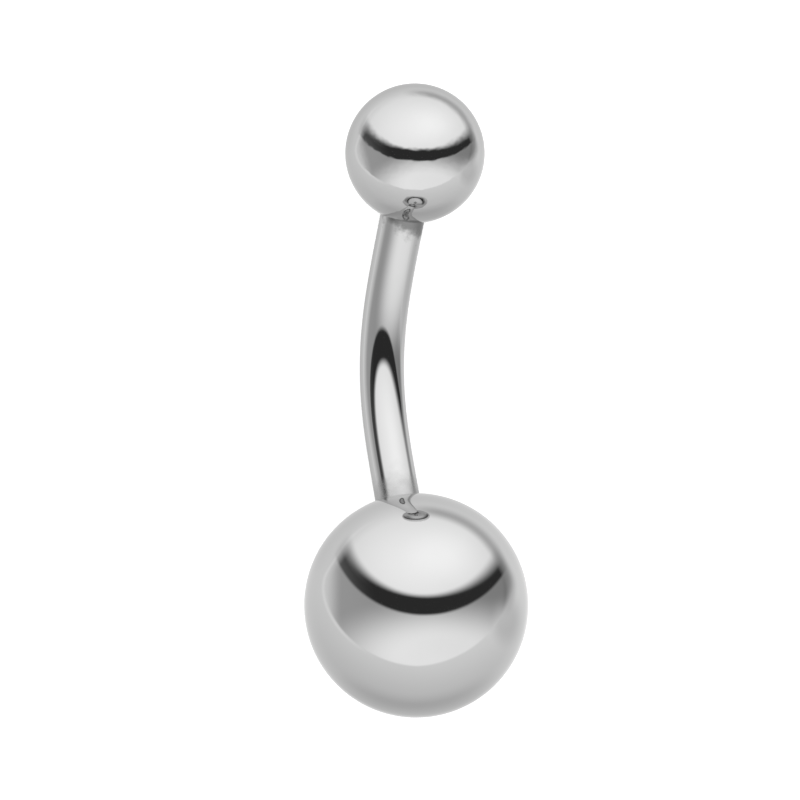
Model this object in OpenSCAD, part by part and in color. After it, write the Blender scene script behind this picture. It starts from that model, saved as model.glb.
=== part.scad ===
// Navel ring: a bowed steel bar with a small ball on its upper end and a large ball on its
// lower end. Both balls screw onto a short threaded stub. The jewel lies on a flat surface
// with its small ball towards +Y. It rests on both balls and on the middle of its bow, which
// hangs down between them and leans towards -X.

/* [Bar] */
// Diameter of the smooth bar
bar_diameter = 1.6; // [1:0.1:2.4]
// Straight distance between the two balls, measured along the middle of the bar
bar_length = 10.4; // [6:0.1:16]
// Radius of the bow along the middle of the bar
bow_radius = 8; // [6:0.5:40]
// Straight stretch of bar between its bow and each ball
straight_end = 2.35; // [0.5:0.05:3]

/* [Balls] */
// Diameter of the small upper ball
top_ball_diameter = 5; // [4:0.5:8]
// Diameter of the large lower ball
lower_ball_diameter = 8; // [4:0.5:12]

/* [Thread] */
// Pitch of the thread on both ends of the bar
thread_pitch = 0.35; // [0.2:0.05:0.5]
// Length of each threaded stub
thread_length = 2.5; // [1.5:0.1:3]
// Length of the cone that leads each stub into its ball
lead_in = 0.15; // [0.05:0.05:0.3]

/* [Fits] */
// How far the smooth bar reaches into the mouth of a ball
entry_depth = 0.25; // [0.1:0.05:0.5]
// Radial gap between the smooth bar and the mouth of a ball
mouth_clearance = 0.03; // [0.02:0.01:0.08]
// Radial gap between a threaded stub and its bore
thread_clearance = 0.03; // [0.02:0.01:0.08]
// Width of the bevel that breaks the sharp edge of a ball's mouth
mouth_bevel = 0.04; // [0.02:0.01:0.1]
// Gap along the bar between its shoulder and the floor of the mouth
shoulder_gap = 0.05; // [0.02:0.01:0.2]
// Depth left in the bore past the end of its stub
bore_spare = 0.25; // [0.1:0.05:0.4]
// Full angle of the cone that the drill leaves at the end of a bore
drill_angle = 118; // [90:1:140]
// Gap left between the middle of the bow and the surface that the jewel lies on
rest_gap = 0.02; // [0.01:0.01:0.2]

/* [Hidden] */
$fn = 96;

// A plain stub of the thread's mean diameter stands for the thread. A metric thread's
// mean diameter is this many pitches smaller than its nominal one.
mean_diameter_drop = 0.6495;
stub_diameter = bar_diameter - mean_diameter_drop * thread_pitch;
bore_diameter = stub_diameter + 2 * thread_clearance;
// The stub starts this far inside the smooth bar, so that the two are one solid
stub_root = stub_diameter / 4;
// A straight end starts inside the bow in the same way, and is a hair thinner, so that the
// two round surfaces cross cleanly where they would otherwise only touch
seam_step = 0.005;
straight_root = bar_diameter / 8;

mouth_diameter = bar_diameter + 2 * mouth_clearance;
mouth_depth = entry_depth + shoulder_gap;
bore_end = entry_depth + thread_length + bore_spare;
drill_tip_length = bore_diameter / 2 / tan(drill_angle / 2);
// Extra length that lets a cut break cleanly through a surface
cut_over = 0.5;

// The bow and its straight ends together span the bar's length, which sets how far each
// half of the bow turns. Past its straight end the smooth bar ends in a shoulder, just
// inside the mouth of its ball.
half_bow = asin(bar_length / 2 / norm([bow_radius, straight_end]))
    - atan2(straight_end, bow_radius);
bow_end_x = bow_radius * (1 - cos(half_bow));
bow_end_y = bow_radius * sin(half_bow);
shoulder_run = straight_end + entry_depth;

// Distance from the centre of a ball to the plane where its round mouth cuts the sphere
function seat(ball_diameter) =
    sqrt(pow(ball_diameter / 2, 2) - pow(mouth_diameter / 2, 2));

// Point on the middle of the bar's end, a given length past the bow, end = 1 above and -1 below
function past_bow(length, end) =
    [bow_end_x + length * sin(half_bow), end * (bow_end_y + length * cos(half_bow)), 0];

// Centre of the ball on one end of the bar
function ball_center(ball_diameter, end) =
    past_bow(straight_end + seat(ball_diameter), end);

top_center = ball_center(top_ball_diameter, 1);
lower_center = ball_center(lower_ball_diameter, -1);

// The jewel lies on both balls, so the line through them slopes down to the smaller one
top_radius = top_ball_diameter / 2;
lower_radius = lower_ball_diameter / 2;
between = top_center - lower_center;
ball_distance = norm(between);
yaw = atan2(between[0], between[1]);
slope = asin((lower_radius - top_radius) / ball_distance);
lower_y = (lower_radius - top_radius - ball_distance * cos(slope)) / 2;

// The bow hangs from the line through both balls and rolls over it to one side until its
// underside is down at the surface. The centre of the bow, seen from the lower ball's centre
// with that line along Y, stands this far out from it and this far along it:
hub_out = (bow_radius - lower_center[0]) * cos(yaw) + lower_center[1] * sin(yaw);
hub_along = (bow_radius - lower_center[0]) * sin(yaw) - lower_center[1] * cos(yaw);
// The lowest point of the middle line of the bow lies sink below the lower ball's centre:
//   sink = bow_radius * norm([roll_down, sin(slope)]) + hub_along * sin(slope) - hub_out * roll_down
// where roll_down is cos(slope) * sin(roll). Squared, that is a quadratic in roll_down.
sink = lower_radius - bar_diameter / 2 - rest_gap;
sink_past_slope = hub_along * sin(slope) - sink;
square_term = pow(bow_radius, 2) - pow(hub_out, 2);
linear_term = 2 * hub_out * sink_past_slope;
plain_term = pow(bow_radius * sin(slope), 2) - pow(sink_past_slope, 2);
roll_down = (sqrt(pow(linear_term, 2) - 4 * square_term * plain_term) - linear_term)
    / (2 * square_term);
// A shallow bow never gets down to the surface and hangs straight down
roll = asin(min(1, roll_down / cos(slope)));

// Places a thing drawn with the middle of the bar at the origin in its lying pose
module lie_down() {
    translate([0, lower_y, lower_radius])
        rotate([-slope, 0, 0])
            rotate([0, -roll, 0])
                rotate([0, 0, yaw])
                    translate(-lower_center)
                        children();
}

// Stands a thing on one shoulder of the bar, with +Z running out of the bar into its ball
module at_shoulder(end) {
    translate(past_bow(shoulder_run, end))
        rotate([-90 * end, 0, -half_bow * end])
            children();
}

// The bow, a bent round rod with its middle at the origin
module bow() {
    translate([bow_radius, 0, 0])
        rotate([0, 0, 180 - half_bow])
            rotate_extrude(angle = 2 * half_bow)
                translate([bow_radius, 0])
                    circle(d = bar_diameter);
}

// The straight end of the smooth bar, from the bow to the shoulder
module straight_rod() {
    translate([0, 0, -shoulder_run - straight_root])
        cylinder(d = bar_diameter - 2 * seam_step, h = shoulder_run + straight_root);
}

// The stub that a ball screws onto, with its lead-in cone
module stub() {
    translate([0, 0, -stub_root])
        cylinder(d = stub_diameter, h = stub_root + thread_length - lead_in);
    translate([0, 0, thread_length - lead_in])
        cylinder(d1 = stub_diameter, d2 = stub_diameter - 2 * lead_in, h = lead_in);
}

// A drilled ball, with its mouth at the origin and its centre up the Z axis
module drilled_ball(ball_diameter) {
    difference() {
        translate([0, 0, seat(ball_diameter)])
            sphere(d = ball_diameter);
        translate([0, 0, -cut_over])
            cylinder(d = mouth_diameter, h = mouth_depth + cut_over);
        cylinder(d1 = mouth_diameter + 2 * mouth_bevel, d2 = mouth_diameter, h = mouth_bevel);
        cylinder(d = bore_diameter, h = bore_end);
        translate([0, 0, bore_end])
            cylinder(d1 = bore_diameter, d2 = 0, h = drill_tip_length);
    }
}

// The bowed bar with a stub on each end
module bar() {
    color("silver")
        lie_down()
            union() {
                bow();
                for (end = [-1, 1])
                    at_shoulder(end) {
                        straight_rod();
                        stub();
                    }
            }
}

// A ball screwed home on one end of the bar
module seated_ball(ball_diameter, end) {
    lie_down()
        at_shoulder(end)
            translate([0, 0, -entry_depth])
                drilled_ball(ball_diameter);
}

// The small ball on the upper end
module top_ball() {
    color("gainsboro")
        seated_ball(top_ball_diameter, 1);
}

// The large ball on the lower end
module lower_ball() {
    color("gainsboro")
        seated_ball(lower_ball_diameter, -1);
}

bar();
top_ball();
lower_ball();
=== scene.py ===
# %% [markdown]
# A navel ring is a short bowed steel bar with a small ball on its upper end and a large one
# on its lower end. All three pieces are turned from round steel rod and polished until they
# work as mirrors, so most of what the eye sees on them is the room around them. This lesson
# therefore spends its effort on three things: true round shapes, since a mirror shows each
# flat, a steel that is smooth but not perfect, and a studio that is worth reflecting.

from math import asin, atan2, cos, pi, radians, sin, sqrt, tan

import bmesh
import bpy
from mathutils import Matrix, Vector


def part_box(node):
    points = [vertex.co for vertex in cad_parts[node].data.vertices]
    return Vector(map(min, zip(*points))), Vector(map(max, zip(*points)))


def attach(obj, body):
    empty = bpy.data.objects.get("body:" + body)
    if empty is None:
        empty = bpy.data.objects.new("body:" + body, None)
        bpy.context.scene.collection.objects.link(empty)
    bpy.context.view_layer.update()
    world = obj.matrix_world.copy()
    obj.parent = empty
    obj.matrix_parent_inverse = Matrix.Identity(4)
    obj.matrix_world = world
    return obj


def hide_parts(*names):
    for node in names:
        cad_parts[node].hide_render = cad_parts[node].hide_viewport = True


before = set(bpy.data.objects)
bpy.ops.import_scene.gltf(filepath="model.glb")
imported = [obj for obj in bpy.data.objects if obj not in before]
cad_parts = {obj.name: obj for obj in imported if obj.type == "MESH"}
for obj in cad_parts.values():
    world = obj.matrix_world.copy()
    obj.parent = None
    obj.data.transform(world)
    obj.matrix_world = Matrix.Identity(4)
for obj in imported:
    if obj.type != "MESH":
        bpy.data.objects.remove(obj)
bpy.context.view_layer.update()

# %% [markdown]
# Everything is drawn at its real size in metres. The sizes below are those of the real
# jewel: a bar 1.6 mm thick that spans 10.4 mm between balls of 5 mm and 8 mm. Each size is
# named once, and all places further down are worked out from these few.

# %% Sizes of the jewel
MM = 0.001
bar_radius = 0.8 * MM
bar_length = 10.4 * MM
bow_radius = 8 * MM
straight_end = 2.35 * MM
small_radius = 2.5 * MM
large_radius = 4 * MM
print("thickness of the bar and the balls in mm:",
      [round(2 * radius / MM, 1) for radius in (bar_radius, small_radius, large_radius)])

# %% [markdown]
# The real bar is turned and threaded while it is straight, and then bent. It is made in the
# same order here, so two places matter: the straight bar along Z with its middle at zero,
# and the lying jewel. The first helper follows a point of the bar through the bend: the
# middle stretch goes round an arc, and what lies past it runs straight on.

# %% Where the bend takes a point
entry_depth = 0.25 * MM  # how far the smooth bar goes into the mouth of a ball
half_bow = asin(bar_length / 2 / sqrt(bow_radius**2 + straight_end**2))
half_bow -= atan2(straight_end, bow_radius)
half_arc = bow_radius * half_bow
half_bar = half_arc + straight_end + entry_depth


def bent(point):
    """Where a point of the straight bar comes to lie once the bar is bent."""
    on_arc = max(-half_arc, min(half_arc, point.z))
    turn = on_arc / bow_radius
    past = point.z - on_arc
    x = bow_radius * (1 - cos(turn)) + point.x * cos(turn) + past * sin(turn)
    y = bow_radius * sin(turn) - point.x * sin(turn) + past * cos(turn)
    return Vector((x, y, -point.y))


print(f"the bow turns {2 * half_bow / pi * 180:.1f} degrees")

# %% [markdown]
# Each ball sits on its end of the bar with a drilled mouth, a hair wider than the bar. The
# plane of that mouth cuts off a small cap, so the ball's centre is a little nearer to the
# bar's end than one radius.

# %% Where the balls sit
TOP, LOWER = 1, -1
mouth_clearance = 0.03 * MM
mouth_radius = bar_radius + mouth_clearance


def seat(ball_radius):
    """Distance from a ball's centre to the plane where its round mouth cuts the sphere."""
    return sqrt(ball_radius**2 - mouth_radius**2)


def ball_center(ball_radius, end):
    """Centre of the ball on one end of the bent bar."""
    return bent(Vector((0, 0, end * (half_bar - entry_depth + seat(ball_radius)))))


between = ball_center(small_radius, TOP) - ball_center(large_radius, LOWER)
print(f"the centres of the balls are {between.length / MM:.2f} mm apart")

# %% [markdown]
# Three rules settle how the jewel lies. Both balls touch the floor, so the line through
# their centres slopes down to the smaller one. The heavy bow swings down under that line.
# It would hang straight down, but it meets the floor first and leans on it to one side.
# The angle of that lean has no tidy formula, so it is found by trying: halving the range of
# angles again and again closes in on the one where the bow just lands.

# %% How the jewel lies
rest_gap = 0.02 * MM
yaw = Matrix.Rotation(atan2(between.x, between.y), 4, "Z")
slope_angle = asin((large_radius - small_radius) / between.length)
slope = Matrix.Rotation(-slope_angle, 4, "X")
lower_y = (large_radius - small_radius - between.length * cos(slope_angle)) / 2
lift = Matrix.Translation((0, lower_y, large_radius)) @ slope
to_center = yaw @ Matrix.Translation(-ball_center(large_radius, LOWER))


def laid(lean):
    """The matrix that lays the bent bar down with its bow leaning by the given angle."""
    return lift @ Matrix.Rotation(-lean, 4, "Y") @ to_center


def gap_under_bow(lean, steps=200):
    """Height of the bow's underside above the floor."""
    heights = [half_arc * i / steps for i in range(-steps, steps + 1)]
    return min((laid(lean) @ bent(Vector((0, 0, z)))).z for z in heights) - bar_radius


low, high = 0.0, pi / 2
for _ in range(40):
    middle = (low + high) / 2
    low, high = (middle, high) if gap_under_bow(middle) > rest_gap else (low, middle)
bow_lean = low
lie_down = laid(bow_lean)
print(f"the bow leans {bow_lean / pi * 180:.2f} degrees")

# %% [markdown]
# A ball is drawn with its mouth looking down Z, so one more matrix is needed for each end,
# which stands such a thing on the bar's shoulder. The frame's own solids tell whether all of
# this is right: the side of each ball should touch the side of its solid's box.

# %% Stand a thing on a shoulder


def shoulder_frame(end):
    """Carries a thing drawn along +Z to one shoulder of the bar, with +Z into its ball."""
    turned = Matrix.Rotation(-half_bow * end, 4, "Z") @ Matrix.Rotation(-pi / 2 * end, 4, "X")
    return lie_down @ Matrix.Translation(bent(Vector((0, 0, end * half_bar)))) @ turned


small_center = lie_down @ ball_center(small_radius, TOP)
large_center = lie_down @ ball_center(large_radius, LOWER)
for node, radius, place in (("top_ball", small_radius, small_center),
                            ("lower_ball", large_radius, large_center)):
    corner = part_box(node)[0]
    print(node, "centre in mm", [round(v / MM, 3) for v in place],
          "off by", round((place.x - radius - corner[0]) / MM, 4))

# %% [markdown]
# The camera looks straight down at the jewel from 35 cm through a very long lens, as for a
# catalogue picture, so that near and far are drawn at almost the same scale. Its aim and the
# width of its view are set from where the two balls sit in the picture, with the lens worked
# out from them rather than tried by eye.

# %% Camera
PICTURE_SIZE = 800
LARGE_BALL_PIXEL = (416.2, 604.96)
SMALL_BALL_PIXEL = (414.98, 152.62)
camera_distance = 350 * MM

step_across = SMALL_BALL_PIXEL[0] - LARGE_BALL_PIXEL[0]
step_up = LARGE_BALL_PIXEL[1] - SMALL_BALL_PIXEL[1]
real_step = (small_center - large_center).xy
metres_per_pixel = real_step.length / sqrt(step_across**2 + step_up**2)
picture_turn = atan2(step_across, step_up) - atan2(real_step.x, real_step.y)
half_picture = PICTURE_SIZE / 2
off_center = Vector((LARGE_BALL_PIXEL[0] - half_picture, half_picture - LARGE_BALL_PIXEL[1]))
aim = large_center.xy - Matrix.Rotation(picture_turn, 2) @ off_center * metres_per_pixel
aim_height = (small_center.z + large_center.z) / 2

camera_data = bpy.data.cameras.new("camera")
camera = bpy.data.objects.new("camera", camera_data)
bpy.context.scene.collection.objects.link(camera)
camera.location = (aim.x, aim.y, aim_height + camera_distance)
camera.rotation_euler = (0, 0, picture_turn)
camera_data.lens = camera_data.sensor_width * camera_distance / (PICTURE_SIZE * metres_per_pixel)
camera_data.clip_start = 0.01
camera_data.clip_end = 10
bpy.context.scene.camera = camera
print(f"lens {camera_data.lens:.0f} mm, {MM / metres_per_pixel:.2f} pixels a millimetre")

# %% [markdown]
# Shader and geometry trees are built from many small nodes. The helper below adds a node,
# sets its properties and fills its inputs, whether with a number or with another node's
# output. Its other calls chain math nodes, so that a formula reads nearly as on paper.

# %% Helpers for node trees


class Tree:
    """A node tree with short calls for the nodes that this lesson uses."""

    def __init__(self, tree):
        self.tree = tree

    def add(self, kind, inputs=(), **settings):
        node = self.tree.nodes.new(kind)
        for key, value in settings.items():
            setattr(node, key, value)
        pairs = inputs.items() if isinstance(inputs, dict) else enumerate(inputs)
        for key, value in pairs:
            if isinstance(value, bpy.types.NodeSocket):
                self.tree.links.new(value, node.inputs[key])
            else:
                node.inputs[key].default_value = value
        return node

    def math(self, operation, *values):
        return self.add("ShaderNodeMath", values, operation=operation).outputs[0]

    def vector(self, operation, *values):
        node = self.add("ShaderNodeVectorMath", values, operation=operation)
        return node.outputs["Value" if operation in ("LENGTH", "DOT_PRODUCT") else "Vector"]

    def parts(self, vector):
        return self.add("ShaderNodeSeparateXYZ", [vector]).outputs

    def ramp(self, value, low, high, low_to=0.0, high_to=1.0, smooth=True):
        """Goes from low_to to high_to while the value goes from low to high."""
        kind = "SMOOTHSTEP" if smooth else "LINEAR"
        inputs = {"Value": value, "From Min": low, "From Max": high,
                  "To Min": low_to, "To Max": high_to}
        return self.add("ShaderNodeMapRange", inputs, interpolation_type=kind).outputs["Result"]

    def blend(self, factor, first, second):
        """The first number where the factor is 0, and the second where it is 1."""
        inputs = {"Factor": factor, "A": first, "B": second}
        return self.add("ShaderNodeMix", inputs, data_type="FLOAT").outputs["Result"]


def material_tree(name):
    """A new empty material and its tree."""
    material = bpy.data.materials.new(name)
    material.use_nodes = True
    material.node_tree.nodes.clear()
    return material, Tree(material.node_tree)


print("helpers ready")

# %% [markdown]
# The studio is a tent of white cloth over a pale table, and the steel shows four parts of
# it. A large bright cloth hangs on the far side, at the top of the picture. Nearer the
# camera, the tent is slit open in a curved gap for the lens, and the room behind the gap is
# dark: that is the black crescent on each ball. Then comes the near flap, grey beside the
# gap and bright at its hem, and below the hem the table.
#
# All this could be sewn from meshes and lit with lamps. One large glowing egg with the tent
# painted on its inside is simpler, has no noise and looks just as true in a mirror. It is
# a few times longer than wide, like a real tent, so the small ball and the bar see each
# edge from another place than the large ball does. Cycles would spend most of its time on
# aiming light rays at so large a lamp, which mirror rays find by themselves, so the cloth
# and the table below say that they need no such aiming.

# %% Sizes of the tent
tent_half_sizes = (89 * MM, 256 * MM, 213 * MM)
# Middle of the tent, measured from the centre of the large ball
tent_offset = Vector((18.5, -39.8, -50)) * MM
print("tent, in mm:", [round(2 * size / MM) for size in tent_half_sizes])

# %% [markdown]
# What to paint where? A mirror ball under a camera is a map of its surroundings. A spot at
# distance d from the middle of a ball of radius 1, seen from straight above, mirrors the
# direction that leans twice the angle whose sine is d. The reverse turns a direction (x, y,
# z) into the spot (x, y) / sqrt(2 (1 + z)). With that rule the tent is painted on the large
# ball's face, where most edges are plain ovals, and the egg carries the paint into space.

# %% Helpers for the paint


def mirror_spot(t):
    """The place on the large ball's face, 1 at its rim, that mirrors this piece of tent."""
    x, y, z = t.parts(t.vector("NORMALIZE", t.add("ShaderNodeTexCoord").outputs["Object"]))
    shrink = t.math("SQRT", t.math("MAXIMUM", t.math("MULTIPLY_ADD", z, 2, 2), 0.0001))
    return t.math("DIVIDE", x, shrink), t.math("DIVIDE", y, shrink)


def oval(t, spot, across, up, half_width, half_height):
    """Grows from 0 in the middle of an oval to 1 on its edge, and on past it."""
    face = t.add("ShaderNodeCombineXYZ", spot).outputs[0]
    scale = (1 / half_width, 1 / half_height, 0)
    shift = (-across / half_width, -up / half_height, 0)
    return t.vector("LENGTH", t.vector("MULTIPLY_ADD", face, scale, shift))


def pointed_oval(t, spot, across, up, half_width, half_height, power=1.8):
    """The same for an oval whose sides are a little flatter between its four tips."""
    out = []
    for value, middle, half_size in ((spot[0], across, half_width), (spot[1], up, half_height)):
        scaled = t.math("MULTIPLY_ADD", value, 1 / half_size, -middle / half_size)
        out.append(t.math("POWER", t.math("ABSOLUTE", scaled), power))
    return t.math("POWER", t.math("ADD", *out), 1 / power)


def fold(t, distance, at, width):
    """A thin line, 1 where the distance has the given value and 0 past its width."""
    return t.ramp(t.math("ABSOLUTE", t.math("SUBTRACT", distance, at)), 0, width, 1, 0)


print("paint helpers ready")

# %% [markdown]
# The gap lies between two ovals: the edge of the far cloth inside and the edge of the near
# flap outside. It closes towards both ends, where the cloth and the flap are tied together,
# and its edges grow softer there, because they are further from the lens.

# %% The gap for the lens
# Each oval on the ball's face: its middle, across and up, its half width and half height
CLOTH_EDGE = (0.086, 0.713, 0.716, 0.620)
FLAP_EDGE = (0.076, 0.744, 0.853, 0.818)


def gap_for_lens(t, spot, in_cloth, in_flap):
    """1 in the dark gap and 0 on the cloth and the flap."""
    across, up = spot
    softness = t.math("MULTIPLY_ADD", t.math("MULTIPLY", across, across), 0.17, 0.045)
    on_flap = t.ramp(in_flap, 0.98, 1.02)
    on_cloth = t.ramp(t.math("DIVIDE", t.math("SUBTRACT", in_cloth, 1), softness), 1, -1)
    closed = t.math("MAXIMUM", on_flap, on_cloth)
    left_end = t.ramp(t.math("MULTIPLY_ADD", up, 0.36, across), -1.1, -0.3)
    right_end = t.ramp(t.math("MULTIPLY_ADD", up, -0.7, across), 1.18, 0.6)
    untied = t.math("MULTIPLY", left_end, right_end)
    return t.math("MULTIPLY", t.math("SUBTRACT", 1, closed), untied)


print("gap cut")

# %% [markdown]
# The far cloth is brightest in the middle, with a hot spot where the lamp stands behind it.
# The near flap is brightest low down, near its hem, and darkens towards the gap, less so at
# its two ends, where light comes in from the side.

# %% Cloth and flap
CLOTH_GLOW = (0.05, 0.39, 1.84, 1.25)
HOT_SPOT = (0.25, 0.47, 0.45, 0.32)
FLAP_GLOW = (0.22, -0.43, 1.2, 0.56)
room_glow = 0.039


def tent_sides(t, spot):
    """Brightness of the far cloth, the near flap and the dark gap between them."""
    across, up = spot
    in_cloth, in_flap = oval(t, spot, *CLOTH_EDGE), oval(t, spot, *FLAP_EDGE)
    hot_spot = t.ramp(oval(t, spot, *HOT_SPOT), 1, 0, 0, 0.11)
    cloth = t.math("ADD", t.ramp(oval(t, spot, *CLOTH_GLOW), 1, 0, 0.5, 1.51), hot_spot)
    flap = t.ramp(oval(t, spot, *FLAP_GLOW), 1, 0.27, 0.44, 1.37)
    flap = t.math("MULTIPLY_ADD", across, -0.13, flap)
    flap = t.math("ADD", flap, t.ramp(across, -0.64, -0.8, 0, 0.42))
    right_end = t.math("MULTIPLY", t.ramp(across, 0.64, 0.8, 0, 0.5), t.ramp(up, 0.12, -0.05))
    flap = t.math("MULTIPLY", flap, t.math("ADD", right_end, 1))
    sides = t.blend(t.ramp(t.math("ADD", in_cloth, in_flap), 2.05, 1.95), flap, cloth)
    return t.blend(gap_for_lens(t, spot, in_cloth, in_flap), sides, room_glow)


print("sides painted")

# %% [markdown]
# The table shows all round the hem. It darkens outwards, most of all near the camera's
# stand, and its rim is brighter at the bottom of the picture than at the top. On the right
# the cloth shades a patch of it. All of these are ramps that multiply the table's tone.

# %% The table
SHADED_PATCH = (0.79, -0.13, 0.18, 0.3)
WHOLE_FACE = (0, 0, 1, 1)


def table_glow(t, spot, in_hem):
    """Brightness of the table at each mirrored spot, told how far out from the hem it is."""
    across, up = spot
    out = oval(t, spot, *WHOLE_FACE)
    table = t.ramp(in_hem, 1, 1.5, 1.05, 0.77, smooth=False)
    table = t.math("MULTIPLY", table, t.math("MULTIPLY_ADD", across, 0.05, 1))
    patch = t.ramp(oval(t, spot, *SHADED_PATCH), 1, 0.3, 0, 0.2)
    table = t.math("MULTIPLY", table, t.math("SUBTRACT", 1, patch))
    tilt = t.math("MULTIPLY", t.ramp(out, 0.86, 0.98, 0, -0.15), up)
    table = t.math("MULTIPLY", table, t.math("ADD", tilt, 1))
    near_stand = t.math("MULTIPLY", t.ramp(up, -0.55, -0.9), t.ramp(out, 0.76, 0.9, 0, 0.2))
    far_edge = t.math("MULTIPLY", t.ramp(out, 0.97, 1, 0, 0.14), t.ramp(up, 0.3, -0.3))
    return t.math("MULTIPLY", table, t.math("ADD", t.math("SUBTRACT", 1, near_stand), far_edge))


print("table painted")

# %% [markdown]
# The hem itself is one more oval, wider and more pointed towards the bottom of the picture.
# It is crisp there and soft at the top. On the right it is turned up, which makes a dark
# line, and on the left it catches the light. With the hem, the paint is complete: sides
# above it, table below it, and the two lines over both.

# %% The hem and the whole paint
UPPER_HEM = (0.021, 0.154, 0.761, 0.681)
LOWER_HEM = (0.01, 0.155, 0.81, 0.678)


def paint_tent():
    """The tent's material, with its brightness worked out from the mirrored spot."""
    material, t = material_tree("tent_cloth")
    material.cycles.emission_sampling = "NONE"
    across, up = spot = mirror_spot(t)
    lower, upper = pointed_oval(t, spot, *LOWER_HEM), oval(t, spot, *UPPER_HEM)
    in_hem = t.blend(t.ramp(up, 0.22, 0.5), lower, upper)
    softness = t.ramp(up, -0.2, 0.6, 0.015, 0.11)
    over_table = t.ramp(t.math("DIVIDE", t.math("SUBTRACT", in_hem, 1), softness), 1, -1)
    glow = t.blend(over_table, table_glow(t, spot, in_hem), tent_sides(t, spot))
    turned_up = t.ramp(t.math("ADD", across, up), 0.64, 1.06, 0, 0.43)
    shade = t.math("MULTIPLY", fold(t, in_hem, 1.01, 0.1), turned_up)
    lit = t.ramp(across, -0.3, -0.75, 0, 0.12)
    shine = t.math("MULTIPLY", fold(t, in_hem, 1.02, 0.03), lit)
    line = t.math("ADD", t.math("SUBTRACT", 1, shade), shine)
    emit = t.add("ShaderNodeEmission", {"Strength": t.math("MULTIPLY", glow, line)})
    t.add("ShaderNodeOutputMaterial", {"Surface": emit.outputs[0]})
    return material


tent_cloth = paint_tent()
print("paint nodes:", len(tent_cloth.node_tree.nodes))

# %% [markdown]
# The egg is a sphere, stretched to the tent's sizes and moved so that its zero point is the
# centre of the large ball, from where the paint is thrown. The camera looks through it, and
# it casts no shadow.

# %% The tent


def make_tent():
    """The glowing egg round the studio, which the camera itself doesn't see."""
    mesh = bpy.data.meshes.new("light_tent")
    bm = bmesh.new()
    bmesh.ops.create_uvsphere(bm, u_segments=96, v_segments=48, radius=1)
    bmesh.ops.scale(bm, vec=tent_half_sizes, verts=bm.verts)
    bmesh.ops.translate(bm, vec=tent_offset, verts=bm.verts)
    bm.to_mesh(mesh)
    bm.free()
    mesh.materials.append(tent_cloth)
    tent = bpy.data.objects.new("light_tent", mesh)
    tent.location = large_center
    bpy.context.scene.collection.objects.link(tent)
    tent.visible_camera = False
    tent.visible_shadow = False


make_tent()
print("tent pitched round", [round(v / MM, 2) for v in large_center])

# %% [markdown]
# The floor is a plain white table top. It glows like a light table, which keeps the jewel's
# shadow faint. Mirror rays pass through it, because the table that the steel should show is
# already painted on the tent.

# %% Floor and surroundings
floor_radius = 900 * MM
floor_color = 0.80
floor_glow = 0.60
backdrop_glow = 0.9


def make_floor():
    """A wide glowing disc at floor height."""
    mesh = bpy.data.meshes.new("floor")
    bm = bmesh.new()
    bmesh.ops.create_circle(bm, cap_ends=True, segments=96, radius=floor_radius)
    bm.to_mesh(mesh)
    bm.free()
    material, t = material_tree("white_table")
    material.cycles.emission_sampling = "NONE"
    diffuse = t.add("ShaderNodeBsdfDiffuse", {"Color": (floor_color, floor_color, floor_color, 1)})
    emit = t.add("ShaderNodeEmission", {"Strength": floor_glow})
    both = t.add("ShaderNodeAddShader", [diffuse.outputs[0], emit.outputs[0]])
    t.add("ShaderNodeOutputMaterial", {"Surface": both.outputs[0]})
    mesh.materials.append(material)
    floor = bpy.data.objects.new("floor", mesh)
    bpy.context.scene.collection.objects.link(floor)
    floor.visible_glossy = False


def make_surroundings():
    """A pale even backdrop for views that look past the floor."""
    world = bpy.data.worlds.new("studio")
    bpy.context.scene.world = world
    world.use_nodes = True
    background = world.node_tree.nodes["Background"]
    background.inputs["Color"].default_value = (1, 1, 1, 1)
    background.inputs["Strength"].default_value = backdrop_glow


make_floor()
make_surroundings()
bpy.context.scene.view_settings.view_transform = "Standard"
print("floor laid")

# %% [markdown]
# Polished steel is never perfectly even. The wheel leaves slow waves that make the edge of a
# reflection wander, very fine hairlines, and a faint cloudiness where fingers touched it.
# One shader group works all three out from Object coordinates, and the bar and the balls
# each use it with their own strengths. Waves and hairlines go to a bump, so they bend the
# reflections as real ones do.

# %% Polish marks


def polish_marks():
    """A group that puts out a tint, a roughness and a height for polished steel."""
    group = bpy.data.node_groups.new("polish_marks", "ShaderNodeTree")
    for name, value in (("Wave Scale", 900.0), ("Wave Height", 1.0), ("Hairline Height", 0.2),
                        ("Roughness", 0.04), ("Cloud Strength", 0.02)):
        socket = group.interface.new_socket(name, in_out="INPUT", socket_type="NodeSocketFloat")
        socket.default_value = value
    for name in ("Tint", "Roughness", "Height"):
        group.interface.new_socket(name, in_out="OUTPUT", socket_type="NodeSocketFloat")
    t = Tree(group)
    given = t.add("NodeGroupInput").outputs
    here = t.add("ShaderNodeTexCoord").outputs["Object"]
    rolling = {"Vector": here, "Scale": given["Wave Scale"], "Detail": 1.0}
    wave = t.add("ShaderNodeTexNoise", rolling)
    stretch = {"Vector": here, "Rotation": (0.3, 0.2, 0.5), "Scale": (1, 1, 14)}
    stretched = t.add("ShaderNodeMapping", stretch).outputs[0]
    hairline = t.add("ShaderNodeTexNoise", {"Vector": stretched, "Scale": 2600.0, "Detail": 3.0})
    cloud = t.add("ShaderNodeTexNoise", {"Vector": here, "Scale": 420.0, "Detail": 4.0})
    waves = t.math("MULTIPLY", wave.outputs[0], given["Wave Height"])
    lines = t.math("MULTIPLY", hairline.outputs[0], given["Hairline Height"])
    clouds = t.math("MULTIPLY", t.ramp(cloud.outputs[0], 0.45, 0.75), given["Cloud Strength"])
    t.add("NodeGroupOutput", {
        "Tint": t.math("SUBTRACT", 1.0, clouds),
        "Roughness": t.math("ADD", given["Roughness"], clouds),
        "Height": t.math("ADD", waves, lines),
    })
    return group


print("polish nodes:", len(polish_marks().nodes))

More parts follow.
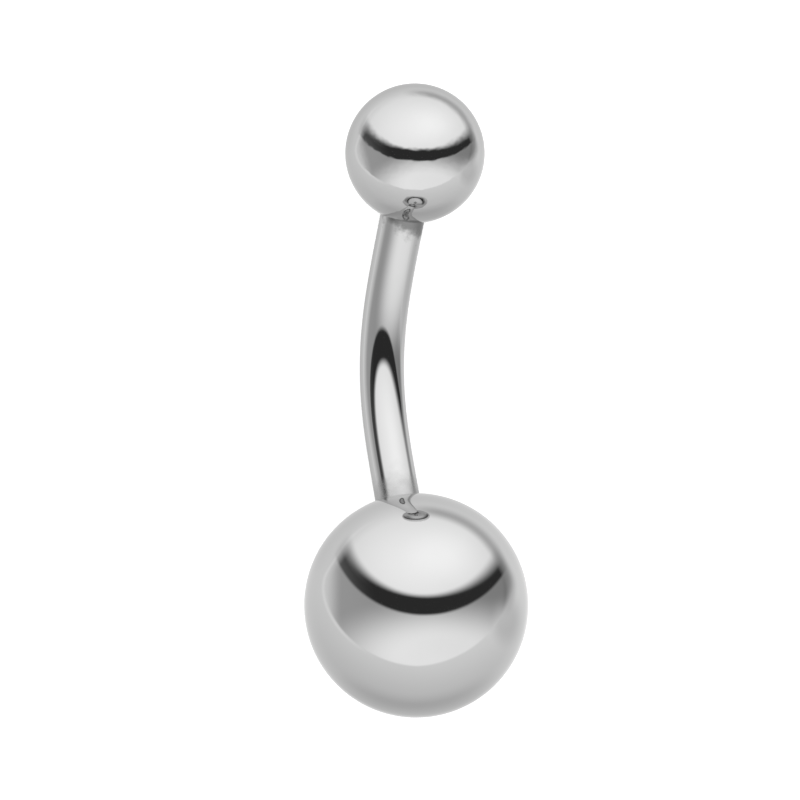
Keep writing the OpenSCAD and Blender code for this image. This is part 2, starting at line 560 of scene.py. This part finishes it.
# %% [markdown]
# Where the bar goes into a ball, the steel's colour is darkened. This is a painted shade that
# stands in for the shade in the joint and for the ball's dark side mirrored in the bar, with a
# rougher haze there as well. A second group marks that corner: it measures how far a point lies
# from a joint along a given axis and lets noise fray the border. An axis that leans to one side
# makes the painted shade reach further on that side. The thread inside the ball stays free of it.

# %% Painted shade in a joint


def joint_residue():
    """A group that puts out 1 in the corner of a joint and 0 away from it."""
    group = bpy.data.node_groups.new("joint_residue", "ShaderNodeTree")
    for name, kind in (("Place", "Vector"), ("Axis", "Vector"),
                       ("Reach", "Float"), ("Fray", "Float")):
        group.interface.new_socket(name, in_out="INPUT", socket_type=f"NodeSocket{kind}")
    group.interface.new_socket("Mask", in_out="OUTPUT", socket_type="NodeSocketFloat")
    t = Tree(group)
    given = t.add("NodeGroupInput").outputs
    here = t.add("ShaderNodeTexCoord").outputs["Object"]
    off_joint = t.vector("SUBTRACT", here, given["Place"])
    along = t.vector("DOT_PRODUCT", off_joint, given["Axis"])
    noise = t.add("ShaderNodeTexNoise", {"Vector": here, "Scale": 2500.0, "Detail": 4.0})
    off_mean = t.math("SUBTRACT", noise.outputs[0], 0.5)
    frayed = t.math("MULTIPLY_ADD", off_mean, given["Fray"], along)
    # Mask of the painted shade in the joint, with a frayed border
    joint_shade_mask = t.ramp(frayed, given["Reach"], 0)
    outside = t.ramp(along, -0.9 * MM, -0.5 * MM)
    t.add("NodeGroupOutput", {"Mask": t.math("MULTIPLY", joint_shade_mask, outside)})
    return group


print("residue nodes:", len(joint_residue().nodes))

# %% [markdown]
# Steel itself is simple: a metal without colour. Surgical steel reflects a little over half of the
# light, and nearly all of it at a glancing angle, which brightens the rims of the balls. The
# marks' heights are given in micrometres. The small ball is the hardest to hold against the wheel,
# so its waves are shorter and deeper. Its rim and the bar's flanks are a little duller at a
# glancing angle than the large ball's, which the edge tint sets. The bar's steel is set a shade
# darker than the balls'. This is a painted shade that stands in for the shaded table that its
# flanks mirror.

# %% Steel
ball_brightness = 0.55
micrometre = 0.001 * MM


def polished_steel(name, brightness, edge_tint, marks, painted_joint_shades=()):
    """A mirror steel, with strengths for its marks and a list of joints with painted shade and
    haze.
    """
    material, t = material_tree(name)
    group = t.add("ShaderNodeGroup", marks, node_tree=bpy.data.node_groups["polish_marks"])
    tint, roughness, height = group.outputs
    for painted_shade_depth, cloudiness, inputs in painted_joint_shades:
        corner = t.add("ShaderNodeGroup", inputs, node_tree=bpy.data.node_groups["joint_residue"])
        # Painted shade: each joint's mask darkens the steel's colour, and its haze makes the steel
        # rougher there
        tint = t.math("MULTIPLY", tint, t.math("MULTIPLY_ADD", corner.outputs[0], -painted_shade_depth, 1))
        roughness = t.math("MULTIPLY_ADD", corner.outputs[0], cloudiness, roughness)
    gray = t.math("MULTIPLY", tint, brightness)
    color = t.add("ShaderNodeCombineColor", [gray, gray, gray])
    bump = t.add("ShaderNodeBump", {"Distance": micrometre, "Height": height})
    steel = t.add("ShaderNodeBsdfPrincipled", {
        "Base Color": color.outputs[0],
        "Roughness": roughness,
        "Normal": bump.outputs[0],
        "Metallic": 1.0,
        "Specular Tint": (edge_tint, edge_tint, edge_tint, 1),
    })
    t.add("ShaderNodeOutputMaterial", {"Surface": steel.outputs[0]})
    return material


large_ball_steel = polished_steel("large_ball_steel", ball_brightness, 1.0, {})
short_waves = {"Wave Scale": 3000, "Wave Height": 4.5}
small_ball_steel = polished_steel("small_ball_steel", ball_brightness, 0.88, short_waves)
print("steel nodes of a ball:", len(small_ball_steel.node_tree.nodes))

# %% [markdown]
# The painted shade in a corner needs a place and an axis, which come from the bent bar: the middle
# of the mouth, and the direction from there to the start of the bow. On the bar it darkens the
# upper joint, leaning to the left. It leaves the lower joint a little darker and cloudy over a
# longer stretch.

# %% The bar's steel


def corner_inputs(end, lean, reach, fray):
    """Inputs that put painted shade and haze at one end of the bar, with its axis leaning to the
    side.
    """
    mouth = lie_down @ bent(Vector((0, 0, end * (half_bar - entry_depth))))
    inner = lie_down @ bent(Vector((0, 0, end * half_arc)))
    axis = ((inner - mouth).normalized() + Vector((lean, 0, 0))).normalized()
    return {"Place": mouth, "Axis": axis, "Reach": reach, "Fray": fray}


# The bar's colour is a shade darker than the balls': painted shade for the shaded table that its
# flanks mirror
bar_brightness_with_painted_shade = 0.53
# Each joint with how dark its painted shade is, how rough its haze is, and where it lies
upper_corner = (0.6, 0.25, corner_inputs(TOP, -0.35, 0.6 * MM, 1.4 * MM))
lower_corner = (0.2, 0.3, corner_inputs(LOWER, 0, 1.5 * MM, 1.3 * MM))
bar_steel = polished_steel("bar_steel", bar_brightness_with_painted_shade, 0.85, {}, [upper_corner, lower_corner])
print("steel nodes of the bar:", len(bar_steel.node_tree.nodes))

# %% [markdown]
# All three pieces come off a lathe, so one Geometry Nodes tree turns them all. Its input is
# an outline: a row of points with a radius and a height each. The tree lays out a grid with
# one row of vertices for each outline point, reads that point's radius and height back by
# row number, and wraps the row round the axis. Threads are cut in the same step: where the
# outline asks for a thread, the radius rises and falls with the turns counted along the
# screw, less the part of a turn already gone round. That makes a true right-handed helix.
# Curve to Mesh could sweep a thread too, but it couldn't join it to the smooth skin.

# %% Helper for geometry trees


def new_geometry_tree(name, inputs):
    """A geometry tree with a mesh in, a mesh out and the given inputs."""
    group = bpy.data.node_groups.new(name, "GeometryNodeTree")
    group.interface.new_socket("Geometry", in_out="INPUT", socket_type="NodeSocketGeometry")
    for label, kind in inputs:
        group.interface.new_socket(label, in_out="INPUT", socket_type=f"NodeSocket{kind}")
    group.interface.new_socket("Geometry", in_out="OUTPUT", socket_type="NodeSocketGeometry")
    t = Tree(group)
    return group, t, t.add("NodeGroupInput").outputs


def finish_tree(t, geometry, material):
    """Ends a tree: instances become real and the material goes on."""
    real = t.add("GeometryNodeRealizeInstances", {"Geometry": geometry})
    painted = t.add("GeometryNodeSetMaterial", {"Geometry": real.outputs[0], "Material": material})
    t.add("NodeGroupOutput", {"Geometry": painted.outputs[0]})


print("geometry helpers ready")

# %% [markdown]
# A metric thread is a V with a narrow flat crest and a wider flat root. Counted in turns, the
# crest takes an eighth of the pitch and the root a quarter, and the flanks fill the rest.
# Here the number 0 is the middle of the root and a half is the middle of the crest.

# %% A lathe as a Geometry Nodes tree
HALF_ROOT, HALF_CREST = 1 / 8, 1 / 16
# Vertices closer than this are one: all those on the axis, and the two sides of the seam
merge_distance = 0.0003 * MM


def make_lathe():
    """Turns an outline, whose points are (radius, 0, height), into a closed skin round Z."""
    group, t, given = new_geometry_tree(
        "lathe", [("Segments", "Int"), ("Thread Depth", "Float"), ("Material", "Material")])
    outline = given["Geometry"]
    rows = t.add("GeometryNodeAttributeDomainSize", {"Geometry": outline}).outputs["Point Count"]
    columns = t.math("ADD", given["Segments"], 1)
    grid = t.add("GeometryNodeMeshGrid", {"Vertices X": columns, "Vertices Y": rows})
    index = t.add("GeometryNodeInputIndex").outputs[0]
    row = t.math("FLOORED_MODULO", index, rows)
    column = t.math("FLOOR", t.math("DIVIDE", t.math("ADD", index, 0.5), rows))
    around = t.math("DIVIDE", column, given["Segments"])

    def read(value, kind="FLOAT"):
        inputs = {"Geometry": outline, "Value": value, "Index": row}
        return t.add("GeometryNodeSampleIndex", inputs, data_type=kind).outputs[0]

    def named(name):
        return t.add("GeometryNodeInputNamedAttribute", {"Name": name}).outputs[0]

    position = t.add("GeometryNodeInputPosition").outputs[0]
    radius, _, height = t.parts(read(position, "FLOAT_VECTOR"))
    turns = t.math("SUBTRACT", read(named("turns")), around)
    off_crest = t.math("ABSOLUTE", t.math("SUBTRACT", t.math("FRACT", turns), 0.5))
    groove = t.ramp(off_crest, HALF_CREST, 0.5 - HALF_ROOT, 0.0, 1.0, smooth=False)
    cut = t.math("MULTIPLY", groove, read(named("thread")))
    turned_radius = t.math("SUBTRACT", radius, t.math("MULTIPLY", cut, given["Thread Depth"]))
    angle = t.math("MULTIPLY", around, 2 * pi)
    x = t.math("MULTIPLY", turned_radius, t.math("COSINE", angle))
    y = t.math("MULTIPLY", turned_radius, t.math("SINE", angle))
    place = t.add("ShaderNodeCombineXYZ", [x, y, height]).outputs[0]
    skin = t.add("GeometryNodeSetPosition", {"Geometry": grid.outputs["Mesh"], "Position": place})
    loose = {"Geometry": skin.outputs[0], "Distance": merge_distance}
    closed = t.add("GeometryNodeMergeByDistance", loose)
    finish_tree(t, closed.outputs[0], given["Material"])
    return group


lathe = make_lathe()
print("lathe nodes:", len(lathe.nodes))

# %% [markdown]
# The bench vice comes next. A second tree bends whatever it is given: the middle stretch
# follows the arc and the ends run on straight. Its rule is the same as in the place helper
# above, so the bar's ends land exactly in the mouths of the balls. Bending the finished skin
# rather than sweeping a circle along an arc keeps the threads on the stubs straight and true.
#
# A bar that was bent over a peg is never a perfect arc. It is tightest in the middle, where
# it met the peg, and straightens out slowly towards its ends. A curvature that falls as
# (1 - u u)^2 over a length called the spread does that, and ends in the same place and
# direction as the arc when the spread is chosen right. The bend adds the difference, which is
# at most 0.03 mm. Nobody sees it in the outline, but everybody sees it in the mirror: it
# decides how long the dark gap looks on the bar and keeps the long reflections free of kinks.

# %% The bend as a Geometry Nodes tree
# For the same direction at the ends, the mean of the new curvature, 8/15 of its peak, settles
# the peak. For the same place, its lever about the middle, a sixth of peak times spread
# squared, has to be that of the arc.
lever = half_arc**2 / bow_radius / 2
spread = 6 * lever / (half_bow * 15 / 8)


def uneven(t, z, half, spread, turn):
    """How far a real bend lies from the arc, towards the hub of the bow."""
    u = t.math("MINIMUM", t.math("DIVIDE", t.math("ABSOLUTE", z), spread), 1)
    u2 = t.math("MULTIPLY", u, u)
    series = t.math("MULTIPLY_ADD", u2, t.math("MULTIPLY_ADD", u2, 1 / 30, -1 / 6), 1 / 2)
    real = t.math("MULTIPLY", t.math("MULTIPLY", u2, series), t.math("MULTIPLY", spread, turn))
    real = t.math("MULTIPLY", real, 15 / 8)
    run = t.math("MULTIPLY", u, spread)
    on_arc = t.math("MINIMUM", run, half)
    drawn = t.math("MULTIPLY_ADD", on_arc, -0.5, run)
    drawn = t.math("MULTIPLY", drawn, t.math("MULTIPLY", turn, t.math("DIVIDE", on_arc, half)))
    return t.math("SUBTRACT", real, drawn)


def make_bend():
    """Bends a straight bar along Z, as the helper that places the balls does."""
    inputs = [("Bow Radius", "Float"), ("Half Arc", "Float"), ("Spread", "Float"),
              ("Material", "Material")]
    group, t, given = new_geometry_tree("bend", inputs)
    x, y, z = t.parts(t.add("GeometryNodeInputPosition").outputs[0])
    half, hub = given["Half Arc"], given["Bow Radius"]
    on_arc = t.math("MAXIMUM", t.math("MINIMUM", z, half), t.math("MULTIPLY", half, -1))
    past = t.math("SUBTRACT", z, on_arc)
    turn = t.math("DIVIDE", on_arc, hub)
    sine, cosine = t.math("SINE", turn), t.math("COSINE", turn)
    shift = uneven(t, z, half, given["Spread"], t.math("DIVIDE", half, hub))
    to_hub = t.math("SUBTRACT", t.math("SUBTRACT", hub, x), shift)
    inward = t.math("SUBTRACT", hub, t.math("MULTIPLY", to_hub, cosine))
    new_x = t.math("MULTIPLY_ADD", past, sine, inward)
    new_y = t.math("MULTIPLY_ADD", past, cosine, t.math("MULTIPLY", to_hub, sine))
    place = t.add("ShaderNodeCombineXYZ", [new_x, new_y, t.math("MULTIPLY", y, -1)]).outputs[0]
    moved = t.add("GeometryNodeSetPosition", {"Geometry": given["Geometry"], "Position": place})
    finish_tree(t, moved.outputs[0], given["Material"])
    return group


bend = make_bend()
print("bend nodes:", len(bend.nodes))

# %% [markdown]
# Outlines are written from small parts. A point holds a radius, a height, how deep the
# thread is cut there, and how many turns of the screw lie below it. A thread needs rows
# close together, ten to a turn, and fades in and out over half a turn at each end, as the
# thread of a real screw does where the die starts and stops.

# %% Helpers for outlines
thread_pitch = 0.35 * MM
thread_depth = 0.6134 * thread_pitch
ROWS_A_TURN = 10


def plain(*points):
    """Outline points without a thread."""
    return [(radius, height, 0.0, 0.0) for radius, height in points]


def threaded(radius, start, stop, shoulder):
    """Outline points of a thread whose turns are counted up Z from a shoulder."""
    count = round(abs(stop - start) / thread_pitch * ROWS_A_TURN)
    points = []
    for i in range(count + 1):
        height = start + (stop - start) * i / count
        fade = min(1.0, 2 * i / ROWS_A_TURN, 2 * (count - i) / ROWS_A_TURN)
        turns = (height - shoulder) / thread_pitch
        points.append((radius - thread_depth * (1 - fade), height, fade, turns))
    return points


print(f"rows every {thread_pitch / ROWS_A_TURN / MM:.3f} mm in a thread")

# %% [markdown]
# A piece goes from outline to skin in one pass: the outline becomes a bare line of edges
# with its thread attributes, the trees run on it as modifiers, and the evaluated result is
# kept as a plain mesh. The skin is then laid in place. It is shaded smooth, with sharp edges
# only where two faces meet at more than 28 degrees, such as at the rim of a mouth.

# %% Helpers for pieces
sharp_angle = radians(28)


def set_inputs(modifier, **values):
    """Sets a modifier's inputs, which it knows by identifier and not by name."""
    for item in modifier.node_group.interface.items_tree:
        label = item.name.replace(" ", "_").lower()
        if item.in_out == "INPUT" and label in values:
            modifier[item.identifier] = values[label]


def turned_mesh(name, outline, material, steps):
    """The mesh that the given geometry trees make of an outline."""
    mesh = bpy.data.meshes.new(name + "_outline")
    points = [(radius, 0, height) for radius, height, _, _ in outline]
    mesh.from_pydata(points, [(i, i + 1) for i in range(len(points) - 1)], [])
    for column, label in ((2, "thread"), (3, "turns")):
        values = [point[column] for point in outline]
        mesh.attributes.new(label, "FLOAT", "POINT").data.foreach_set("value", values)
    source = bpy.data.objects.new(name + "_outline", mesh)
    bpy.context.scene.collection.objects.link(source)
    for group, values in steps:
        modifier = source.modifiers.new(group.name, "NODES")
        modifier.node_group = group
        set_inputs(modifier, material=material, **values)
    depsgraph = bpy.context.evaluated_depsgraph_get()
    turned = bpy.data.meshes.new_from_object(source.evaluated_get(depsgraph))
    source.modifiers.clear()
    bpy.data.objects.remove(source)
    turned.name = name
    return turned


def make_piece(name, outline, material, place, steps):
    """Turns an outline, lays the skin in its place and shades it."""
    turned = turned_mesh(name, outline, material, steps)
    bm = bmesh.new()
    bm.from_mesh(turned)
    bmesh.ops.dissolve_degenerate(bm, edges=bm.edges, dist=merge_distance / 2)
    bmesh.ops.transform(bm, matrix=place, verts=bm.verts)
    bmesh.ops.recalc_face_normals(bm, faces=bm.faces)
    for face in bm.faces:
        face.smooth = True
    for edge in bm.edges:
        edge.smooth = not edge.is_manifold or edge.calc_face_angle() <= sharp_angle
    open_edges = sum(not edge.is_manifold for edge in bm.edges)
    volume = round(bm.calc_volume() / MM**3, 1)
    print(name, "faces", len(bm.faces), "open edges", open_edges, "volume in mm3", volume)
    bm.to_mesh(turned)
    bm.free()
    piece = bpy.data.objects.new(name, turned)
    bpy.context.scene.collection.objects.link(piece)
    return piece


print("sharp edges over", round(sharp_angle / pi * 180), "degrees")

# %% [markdown]
# A ball's outline runs from its far pole down the sphere to the mouth, over the small bevel,
# into the wide mouth that swallows the end of the smooth bar, through the tapped bore, and
# ends at the cone that the drill left. Its thread has the same turns as the bar's but sits
# a little further out, so the two mesh with a thin gap all the way round.

# %% The two balls
thread_length = 2.5 * MM
crest_radius = bar_radius - 0.01 * MM
thread_clearance = 0.03 * MM
bore_crest = crest_radius + thread_clearance
bore_spare = 0.25 * MM
drill_angle = radians(118)
mouth_bevel = 0.04 * MM
shoulder_gap = 0.05 * MM
lathe_inputs = {"segments": 128, "thread_depth": thread_depth}


def ball_outline(radius, rows=110):
    """Outline of a drilled and tapped ball, with the bar's shoulder at height 0."""
    center = seat(radius) - entry_depth
    lip_radius = mouth_radius + mouth_bevel
    last = pi - asin(lip_radius / radius)
    angles = [last * i / rows for i in range(1, rows + 1)]
    skin = [(0, center + radius)] + [(radius * sin(a), center + radius * cos(a)) for a in angles]
    lip_height = skin[-1][1]
    bore_root = bore_crest - thread_depth
    bore_end = thread_length + bore_spare
    mouth = plain(*skin, (mouth_radius, lip_height + mouth_bevel), (mouth_radius, shoulder_gap))
    bore = threaded(bore_crest, shoulder_gap, thread_length, 0)
    tip = plain((bore_root, bore_end), (0, bore_end + bore_root / tan(drill_angle / 2)))
    return mouth + bore + tip


small_ball = make_piece("small_ball", ball_outline(small_radius), small_ball_steel,
                        shoulder_frame(TOP), [(lathe, lathe_inputs)])
large_ball = make_piece("large_ball", ball_outline(large_radius), large_ball_steel,
                        shoulder_frame(LOWER), [(lathe, lathe_inputs)])

# %% [markdown]
# The bar's outline runs from the tip of one threaded stub to the tip of the other. At each
# shoulder the full thickness drops to the root of the thread, and each tip has a small
# lead-in. The long smooth stretch needs many rows only because it is about to be bent.

# %% The bar
lead_in = 0.15 * MM
root_radius = crest_radius - thread_depth
bar_tip = half_bar + thread_length
bend_inputs = {"bow_radius": bow_radius, "half_arc": half_arc, "spread": spread}


def bar_outline(rows=120):
    """Outline of the straight bar with a threaded stub on each end."""
    lower_thread = threaded(crest_radius, -bar_tip + lead_in, -half_bar, -half_bar)
    upper_thread = threaded(crest_radius, half_bar, bar_tip - lead_in, half_bar)
    smooth = [(bar_radius, -half_bar + 2 * half_bar * i / rows) for i in range(rows + 1)]
    lower_tip = plain((0, -bar_tip), (root_radius - lead_in / 2, -bar_tip))
    upper_tip = plain((root_radius - lead_in / 2, bar_tip), (0, bar_tip))
    return lower_tip + lower_thread + plain(*smooth) + upper_thread + upper_tip


steel_bar = make_piece("steel_bar", bar_outline(), bar_steel, lie_down,
                       [(lathe, lathe_inputs), (bend, bend_inputs)])

# %% [markdown]
# Each skin now takes over from the solid of the same piece. It rides on that solid's body, so that
# a ball carries its thread along when it unscrews.

# %% Tie the pieces to the frame
for piece, node, slot in ((small_ball, "top_ball", "ball_steel"),
                          (large_ball, "lower_ball", "ball_steel"),
                          (steel_bar, "bar", "bar_steel")):
    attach(piece, node)
    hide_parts(node)
    print(piece.name, "rides on", node)
